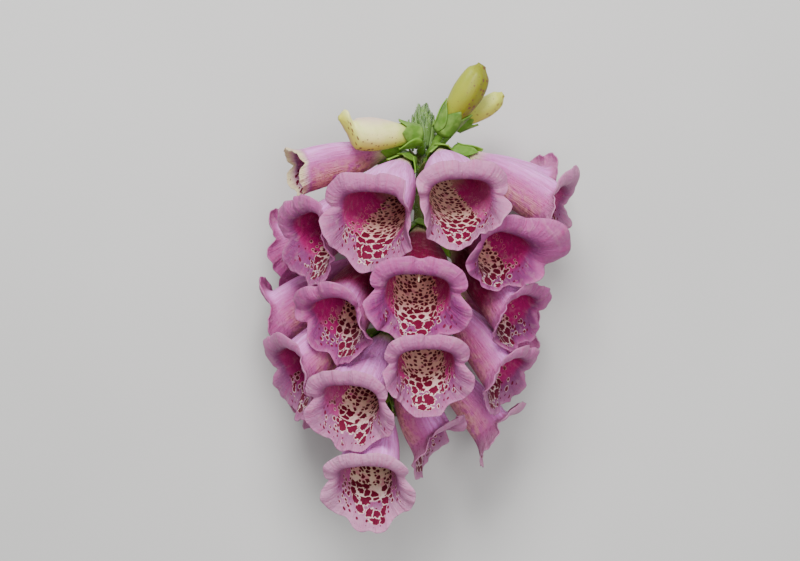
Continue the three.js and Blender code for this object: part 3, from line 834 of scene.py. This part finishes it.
# ---- corollas
def petal_attributes(flower, angles, v, middle):
    """What the petal material reads at the points of a bell's outside, and then of its inside.

    "petal" is how far a point lies round the bell from the middle of its floor, how far from its
    base, and how far the bell has faded, which on the top bells is painted light. "place" is the
    share of the way round from the roof, v, and 1 on the inside. "bell" is the place round a tube,
    and how much painted shade the tube gets for how deep the bell hides.
    """
    steps = np.linalg.norm(np.roll(middle, -1, axis=1) - middle, axis=2)
    bottom = AROUND // 2
    sideways = np.zeros_like(steps)
    sideways[:, bottom + 1 :] = np.cumsum(steps[:, bottom:-1], axis=1)
    sideways[:, :bottom] = -np.cumsum(steps[:, :bottom][:, ::-1], axis=1)[:, ::-1]
    sideways += TWISTS.get(flower.name, 0) * np.maximum(TWIST_FROM - v, 0)[:, None]
    rows = np.linalg.norm(np.diff(middle, axis=0), axis=2)
    along = np.concatenate([np.zeros((1, AROUND)), np.cumsum(rows, axis=0)])
    along += int(flower.name) * PATTERN_STEP
    # real fading lower down and in the youngest bell; the rise at the top is painted light
    fading = YOUNGEST_FADING if flower.name == YOUNGEST else smooth(FADING_AND_TOP_LIGHT, flower.up)
    # painted shade on the tube, less for bells that lie more in the open
    hidden = smooth(TUBE_SHADE_BY_HEIGHT, flower.up) * (OUTER_TUBE_SHADE if abs(flower.side) > OUTER_SIDE else 1)
    turn = np.radians(angles)

    def skin(x, y, outside, inside):
        """Rows of points up the outside and back down the inside, by their third number."""
        x, y, outside, inside = (np.broadcast_to(a, steps.shape) for a in (x, y, outside, inside))
        return np.vstack([np.stack([x, y, outside], -1), np.stack([x, y, inside], -1)[::-1]])

    return {
        "petal": skin(sideways, along, fading, fading),
        "place": skin(from_top(angles) / 180, v[:, None], 0, 1),
        "bell": skin(RING * np.cos(turn), RING * np.sin(turn), hidden, hidden),
    }


def corolla(flower, material):
    """A bell as one closed skin: up its outside, over the edge of the lips and back inside."""
    angles = np.arange(AROUND) * 360 / AROUND
    tube = np.linspace(0, 1, TUBE_LINES, endpoint=False)
    lip = 1 + np.linspace(0, 1, LIP_LINES) ** LIP_SPACING
    v = np.concatenate([tube, lip])
    middle = bell_points(flower, angles, v, lips_of(flower, angles))
    rise = np.maximum(v - 1, 0)[:, None] ** 1.3
    folds = FOLD_HEIGHT * rise * waves(angles, (6, 9, 14, 23), int(flower.name) + 100)
    middle = middle + outward_normals(middle) * (folds * flower.size)[..., None]
    normals = outward_normals(middle)
    half = mix(WALL, EDGE, ease(v, 0.7, 1.9))[:, None, None] / 2
    points = np.vstack([middle + normals * half, (middle - normals * half)[::-1]])
    faces = grid_faces(2 * len(v), AROUND, closed=True)
    attributes = petal_attributes(flower, angles, v, middle)
    piece = make_object("petals_" + flower.name, points, faces, material, attributes)
    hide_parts("corolla_" + flower.name)


# ---- style and stamens
def style_and_stamens(flower, parts):
    """A style along the roof that ends at the throat, and two pairs of stamens."""
    angles = np.array([0.0] + [angle for angle, _ in STAMENS])
    v = np.array(STYLE_AT + [1.0 if flower.name == STYLE_SHOWS else STYLE_END])
    roof = bell_points(flower, angles, v, lips_of(flower, angles))
    _, forward, up, right = frame_of(flower)
    size = flower.size
    drop = np.array(STYLE_DROP)[:, None] * up * size
    style = roof[:, 0] - drop
    end = style[-1] + (forward * 0.9 - up * 0.35) * size
    tip = end + (forward * 0.9 - up * 0.9) * size
    centres = np.vstack([style, end, tip])
    tube_along(parts, centres, np.array(STYLE_RADII) * size, 8, (1, 0, 0))
    for column, (angle, reach) in enumerate(STAMENS, 1):
        filament = roof[:reach, column] - drop[:reach] * 1.15
        tube_along(parts, filament, np.full(reach, 0.3) * size, 6, (0.5, 0, 0))
        side = right * np.sign(angle)
        for half in (-1, 1):
            middle = filament[-1] + (side * 0.55 * half - up * 0.3) * size
            long = unit(forward + side * 0.5 * half)
            t = np.linspace(-1, 1, 6)
            anther = middle + t[:, None] * long * 1.3 * size
            radii = 0.62 * size * np.sqrt(np.maximum(1 - t**2, 0.05))
            tube_along(parts, anther, radii, 8, (0, 1, 0))


def stamen_material():
    """Place x is 1 on a style and half that on a filament, y is 1 on an anther."""
    mat = Shader("style_and_stamens", 0.5)
    style, anther, _ = mat.split(mat.attribute("place"))
    thread = mat.mix(style, (0.62, 0.42, 0.40), (0.72, 0.46, 0.30))
    speckle = mat.noise(mat.on_object(), 1800)[0]
    pollen = mat.mix(mat.ease(speckle, 0.52, 0.6), (0.72, 0.55, 0.16), (0.30, 0.10, 0.05))
    mat.colour(mat.mix(anther, thread, pollen))
    return mat.material


# ---- green parts
# Each green material's colour in light and dark leaves and at their edges, and its roughness.
GREENS = {
    "leaf": ((0.17, 0.36, 0.030), (0.05, 0.13, 0.014), (0.27, 0.42, 0.09), 0.5),
    "stalk": ((0.12, 0.17, 0.03), (0.05, 0.08, 0.012), (0.20, 0.13, 0.06), 0.5),
    "tuft": ((0.15, 0.27, 0.05), (0.03, 0.08, 0.012), (0.24, 0.36, 0.14), 0.6),
}
HAIR_COLOUR = (0.66, 0.72, 0.60)
HAIR_PLACE = (0.8, 0.5, 1)  # light, and marked as a hair
LEAF_OUTLINE = np.array([0.62, 0.78, 0.9, 0.97, 1.0, 0.98, 0.93, 0.84, 0.7, 0.5, 0.26, 0.04])
LEAF_HALF = 0.2  # half a leaf's thickness


def green_material(name, light, dark, edge, roughness):
    """A leafy green: place x is how light it is, y the distance along the piece, z marks hairs."""
    mat = Shader(name, roughness, 0.3, 0.1, (0.5, 1.0, 0.25), 0.0008)
    shade, along, fine = mat.split(mat.attribute("place"))
    where = mat.on_object()
    mottle = mat.noise(where, 420, 3)[0]
    leaf = mat.coats(
        dark,
        (shade, light),
        (mat.ease(mottle, 0.35, 0.7, 0, 0.45), edge),
        (mat.ease(along, 0.75, 1.0, 0, 0.5), edge),
        (fine, HAIR_COLOUR),
    )
    mat.colour(leaf)
    mat.bump(mat.noise(where, 1500)[0], 0.12, 0.5)
    return mat.material


def sepal(parts, root, out, ahead, length, width, flare, shade, round_radius=4.0, lap=0.0):
    """One pointed oval leaf. It curves round an axis, and lap lifts one of its sides."""
    across = np.cross(ahead, out)
    s = np.linspace(-1, 1, LEAF_ACROSS)
    along = np.linspace(0, 1, len(LEAF_OUTLINE))
    rings = []
    for t, half in zip(along, width / 2 * LEAF_OUTLINE):
        x = s * half
        middle = root + ahead * length * t + out * flare * t**2
        wave = 0.12 * np.sin(9 * t + 3 * s) * s**2
        hug = -(x**2) / (2 * round_radius) + lap * s + wave
        line = middle + x[:, None] * across + hug[:, None] * out
        midrib = 0.1 * np.exp(-((s / 0.15) ** 2))
        veins = 0.04 * np.cos(s * 14) * (1 - t)
        top = line + (LEAF_HALF + midrib + veins)[:, None] * out
        rings.append(np.concatenate([line - out * LEAF_HALF, top[::-1]]))
    parts.tube(rings, [[shade, 0.9 * t, 0] for t in along])


def stalk_points(flower):
    """The stalk's middle line, from the stem to the flower's base."""
    base, forward, _, _ = frame_of(flower)
    foot = flower.up - flower.rise
    out = azimuth_vector(flower.side)
    start = stem_axis(foot) + out * (stem_radius(foot) - STALK_SINKS)
    control = [start, start + out * 2.4, base - forward * 2.5, base - forward * 0.6]
    t = np.linspace(0, 1, 9)[:, None]
    weights = [(1 - t) ** 3, 3 * t * (1 - t) ** 2, 3 * t**2 * (1 - t), t**3]
    return sum(weight * point for weight, point in zip(weights, control))


def stalk_and_cup(parts, flower, size, inside):
    """A flower's stalk, and the cup at its end from which the sepals grow."""
    base, forward, up, right = frame_of(flower)
    line = stalk_points(flower)
    radii = np.linspace(CALYX.stalk, CALYX.stalk + 0.15, len(line))
    tube_along(parts, line, radii, 12, (0.6, 0, 0))
    cup_at = np.array([-2.2, -1.6, -1.0, 0.2, 1.4]) * size
    cup_radius = np.array([0.42, 0.78, 0.93, 1.05, 0.98]) * inside
    cup = [round_ring(base + forward * a, up, -right, r, 20) for a, r in zip(cup_at, cup_radius)]
    parts.tube(cup, (0.55, 0.1, 0))
    return line


def calyx(flower, material):
    """A flower's hairy stalk, and its sepals, which overlap like tiles."""
    parts = Parts()
    base, forward, up, right = frame_of(flower)
    draw = np.random.default_rng(300 + int(flower.name))
    size = flower.size
    inside = (CALYX.inside - WALL) * size + WALL
    rim = (CALYX.lip - WALL) * size + WALL
    line = stalk_and_cup(parts, flower, size, inside)
    for i in range(SEPALS.count):
        angle = radians((2 * i + 0.5) * 36 + draw.uniform(-6, 6))
        out = up * cos(angle) + right * sin(angle)
        root = base - forward * 1.2 * size + out * inside * 0.92
        ahead = unit(forward + out * 0.15)
        length = (CALYX.tip + 1.2) * size * draw.uniform(0.94, 1.04)
        if flower.name == CURLED:
            length = length * CURLED_SEPALS
        width = SEPALS.width * size
        flare = (rim - inside) * 0.5
        shade = draw.uniform(0.2, 1.0)
        sepal(parts, root, out, ahead, length, width, flare, shade, 4.0 * size, SEPALS.lap)
    for _ in range(HAIRS.stalk):
        pick = draw.uniform(0, len(line) - 1.01)
        k = int(pick)
        ahead = unit(line[k + 1] - line[k])
        side, other = cross_pair(ahead)
        angle = draw.uniform(0, 2 * pi)
        out = side * cos(angle) + other * sin(angle)
        root = mix(line[k], line[k + 1], pick - k) + out * CALYX.stalk
        hair(parts, root, out, draw.uniform(0.4, 0.8), HAIR_RADIUS, ahead * 0.2, HAIR_PLACE)
    piece = parts.make("sepals_" + flower.name, material)
    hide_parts("calyx_" + flower.name)


def stem(material):
    """The ribbed stem with its bracts and hairs."""
    parts = Parts()
    draw = np.random.default_rng(7)
    angle = -np.arange(STEM_AROUND) * 2 * pi / STEM_AROUND
    spokes = np.stack([np.sin(angle), np.zeros(STEM_AROUND), np.cos(angle)], -1)
    rings = []
    places = []
    for y in np.linspace(STEM.foot, STEM.top, STEM_LINES):
        ridges = 1 + 0.035 * np.cos(5 * angle + y * 0.03) + 0.015 * np.cos(9 * angle - y * 0.05)
        rings.append(stem_axis(y) + spokes * stem_radius(y) * ridges[:, None] * 0.99)
        places.append([0.55 + 0.2 * sin(y * 0.4), 0, 0])
    parts.tube(rings, places)
    for up, side, length, width in BRACTS:
        out = azimuth_vector(side)
        along = unit(out * 0.8 + vector(0, 0.6, 0))
        face = unit(vector(0, 0.8, 0) - out * 0.6)
        root = stem_axis(up) + out * stem_radius(up) * 0.6
        sepal(parts, root, face, along, length, width, 1.0, 0.9)
    for _ in range(HAIRS.stem):
        y = draw.uniform(STEM.foot, STEM.top)
        out = azimuth_vector(draw.uniform(0, 360))
        root = stem_axis(y) + out * stem_radius(y) * 0.98
        sag = vector(0, -0.3, 0)
        hair(parts, root, out, draw.uniform(0.5, 1.0), HAIR_RADIUS, sag, HAIR_PLACE)
    piece = parts.make("stem_detail", material)
    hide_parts("stem")


def growing_tip(material):
    """A tuft of narrow hairy leaves round the last of the stem."""
    parts = Parts()
    draw = np.random.default_rng(11)
    share = np.linspace(0, 1, 12)
    centres = [stem_axis(y) for y in np.linspace(TIP.foot, TIP.end, len(share))]
    tube_along(parts, centres, TIP.radius * np.sqrt(1 - 0.92 * share**2), 16, (0.3, 0.2, 0))
    for i in range(TIP.leaves):
        t = i / (TIP.leaves - 1)
        out = azimuth_vector(i * GOLDEN_ANGLE)
        lean = radians(mix(24, 4, t))
        along = out * sin(lean) + vector(0, cos(lean), 0)
        face = out * cos(lean) - vector(0, sin(lean), 0)
        y = mix(TIP.foot - 1.2, TIP.end - 4.6, t)
        root = stem_axis(y) + out * TIP.radius * mix(1.2, 0.65, t)
        length = TIP.length * mix(1.22, 0.85, t) * draw.uniform(0.94, 1.04)
        curl = mix(-2.8, -0.9, t)
        sepal(parts, root, face, along, length, TIP.width, curl, draw.uniform(0, 1), 2.0)
        for _ in range(HAIRS.leaf):
            at = draw.uniform(0.5, 1.0)
            start = root + along * length * at + face * curl * at**2
            away = along * draw.uniform(0.5, 1.3) + face * draw.uniform(0.0, 0.5)
            away = unit(away + np.cross(along, face) * draw.uniform(-0.6, 0.6))
            hair(parts, start, away, draw.uniform(0.6, 1.3), 0.03, vector(0, 0.1, 0), (1, 1, 1))
    piece = parts.make("tip_leaves", material)
    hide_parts("growing_tip")


# ---- buds
# Each bud's material: its name, its colours on top, underneath and at the base, how dark its
# freckles are and how pink its back is.
BUD_LOOKS = {
    "22": ("cream_bud", (0.88, 0.86, 0.36), (0.60, 0.58, 0.08), (0.5, 0.64, 0.10), 0.9, 0.6),
    "23": ("olive_bud", (0.34, 0.37, 0.03), (0.20, 0.19, 0.008), (0.26, 0.34, 0.025), 0.9, 0.0),
    "24": ("pale_bud", (0.74, 0.78, 0.22), (0.52, 0.54, 0.07), (0.40, 0.52, 0.06), 0.5, 0.0),
}
FRECKLE = (0.16, 0.05, 0.04)
BLUSH = (0.80, 0.46, 0.58)


def bud_profile(flower, t):
    """A bud's radius, and how far it has bent up, at share t of its length."""
    radius = float(smooth(BUD_SHAPE, t)) * flower.radius
    if flower.name != CURLED:
        return radius, flower.hook * t**HOOK_POWER
    neck = 1 - 0.28 * ease(t, 0.76, 0.84)
    lobe = 1 + 0.35 * ease(t, 0.86, 0.92) - 0.6 * ease(t, 0.95, 1.0)
    return radius * neck * lobe, 0.85 * flower.hook * ease(t, 0.79, 0.94)


def bud(flower, material):
    """A closed flower: a tube with five shallow lobes, narrowing to its tip."""
    base, forward, up, right = frame_of(flower)
    seed = int(flower.name)
    shares = np.concatenate([np.linspace(0, 0.8, 24, endpoint=False), np.linspace(0.8, 1, 16)])
    angles = np.arange(BUD_AROUND) * 360 / BUD_AROUND
    turn = np.radians(angles)
    spokes = np.cos(turn)[:, None] * up + np.sin(turn)[:, None] * right
    rings = []
    petal = []
    for t in shares:
        radius, rise = bud_profile(flower, t)
        lobes = 1 - 0.07 * ease(t, 0.35, 0.9) * np.abs(np.cos(turn * 2.5 + 0.4)) ** 6
        lobes = lobes + 0.02 * waves(angles, (3, 5, 8), seed) * t
        centre = base + forward * (WALL + t * flower.length) + up * rise
        rings.append(centre + spokes * (radius * lobes)[:, None])
        sideways = np.radians(angles - 180) * radius
        along = np.full(BUD_AROUND, t * flower.length + seed * BUD_PATTERN_STEP)
        petal.append(np.stack([sideways, along, np.full(BUD_AROUND, t)], -1))
    faces = capped_faces(len(shares), BUD_AROUND)
    attributes = {"petal": np.concatenate(petal)}
    points = np.concatenate(rings)
    piece = make_object("bud_petals_" + flower.name, points, faces, material, attributes)
    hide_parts("bud_" + flower.name)


def bud_material(name, top, under, base, freckles, blush):
    """Petal is millimetres round the bud from underneath and along it, and the share along it."""
    mat = Shader(name, 0.45, 0.3, 0.15, (1.0, 0.9, 0.4), 0.001)
    where = mat.attribute("petal")
    u, along, share = mat.split(where)
    sideways = mat.math("ABSOLUTE", u)
    below = mat.ease(sideways, 9.0, 2.0)
    blotchy = mat.noise(where, 0.35, 3)[0]
    colour = mat.coats(
        top,
        (below, under),
        (mat.ease(share, 0.35, 0.05), base),
        (mat.ease(blotchy, 0.4, 0.7, 0, 0.3), base),
        (mat.times(mat.ease(sideways, 9.0, 14.0), blush), BLUSH),
    )
    size = mat.times(below, mat.ease(share, 0.1, 0.4))
    fleck, _ = spot_layer(mat, mat.warp(where, 1.5, 0.5), "flecks", size)
    mat.colour(mat.mix(mat.times(fleck, freckles), colour, FRECKLE))
    creases = mat.noise(mat.join(mat.times(u, 2.0), mat.times(along, 0.2)), 1.0, 3)[0]
    mat.bump(creases, 0.2, 0.5)
    return mat.material


# ---- floor, light and camera
PIXEL = 0.32  # millimetres a pixel at the stem's height
DISTANCE = 604  # from the camera to the stem
LENS = 85
SENSOR = 36
IMAGE_CENTRE = (400, 280.5)
SPIKE_CENTRE = (418, 297)  # the pixel where the middle of the spike is
FLOOR_HALF = 1.5  # metres
FLOOR_TONES = (0.60, 0.59, 0.575), (0.64, 0.63, 0.615)
SKY = (0.95, 0.97, 1.0, 1)
SKY_STRENGTH = 0.42
# Name, place in metres and power in watts of the square lamps.
LAMPS = [["key", (-0.05, 0.42, 0.6), 6.6], ["front", (0.13, -0.03, 0.76), 2.6]]
LAMP_SIZE = 0.3
LAMP_TARGET = (0, 0, 0.04)


def make_camera():
    """A camera that looks straight down, as the photograph looks at the standing spike."""
    camera = bpy.data.cameras.new("camera")
    camera.lens = LENS
    camera.sensor_width = SENSOR
    holder = add_to_scene("camera", camera)
    x = (IMAGE_CENTRE[0] - SPIKE_CENTRE[0]) * PIXEL
    y = (SPIKE_CENTRE[1] - IMAGE_CENTRE[1]) * PIXEL - MIDDLE
    holder.location = Vector((x, y, STEM.height + DISTANCE)) / 1000
    bpy.context.scene.camera = holder


def make_floor():
    mat = Shader("floor", 0.85)
    tone = mat.noise(mat.on_object(), 6, 3)[0]
    mat.colour(mat.mix(mat.ease(tone, 0.3, 0.7), *FLOOR_TONES))
    mesh = bpy.data.meshes.new("floor")
    signs = [(-1, -1), (1, -1), (1, 1), (-1, 1)]
    corners = [(x * FLOOR_HALF, y * FLOOR_HALF, 0) for x, y in signs]
    mesh.from_pydata(corners, [], [(0, 1, 2, 3)])
    mesh.materials.append(mat.material)
    add_to_scene("floor", mesh)


def make_light():
    world = bpy.data.worlds.new("world")
    world.use_nodes = True
    background = world.node_tree.nodes["Background"]
    background.inputs["Color"].default_value = SKY
    background.inputs["Strength"].default_value = SKY_STRENGTH
    bpy.context.scene.world = world
    for name, place, power in LAMPS:
        light = bpy.data.lights.new(name, "AREA")
        light.energy = power
        light.size = LAMP_SIZE
        lamp = add_to_scene(name, light)
        lamp.location = place
        aim = Vector(LAMP_TARGET) - lamp.location
        lamp.rotation_euler = aim.to_track_quat("-Z", "Y").to_euler()


# ---- assembly
flowers = []
for row in FLOWERS:
    flowers.append(SimpleNamespace(**{"rise": 2, "bend": BEND} | dict(zip(FLOWER_COLUMNS, row))))
buds = []
for row in BUDS:
    flower = SimpleNamespace(roll=0, bend=0, **dict(zip(BUD_COLUMNS, row)))
    flower.size = flower.radius / CALYX_BUD_RADIUS
    buds.append(flower)

petal = petal_material()
leaf, stalk, tuft = (green_material(name, *look) for name, look in GREENS.items())

inner_parts = Parts()
for flower in flowers:
    corolla(flower, petal)
    calyx(flower, leaf)
    style_and_stamens(flower, inner_parts)
stamens = inner_parts.make("styles_and_stamens", stamen_material())
for flower in buds:
    bud(flower, bud_material(*BUD_LOOKS[flower.name]))
    calyx(flower, leaf)
stem(stalk)
growing_tip(tuft)
make_floor()
make_light()
make_camera()
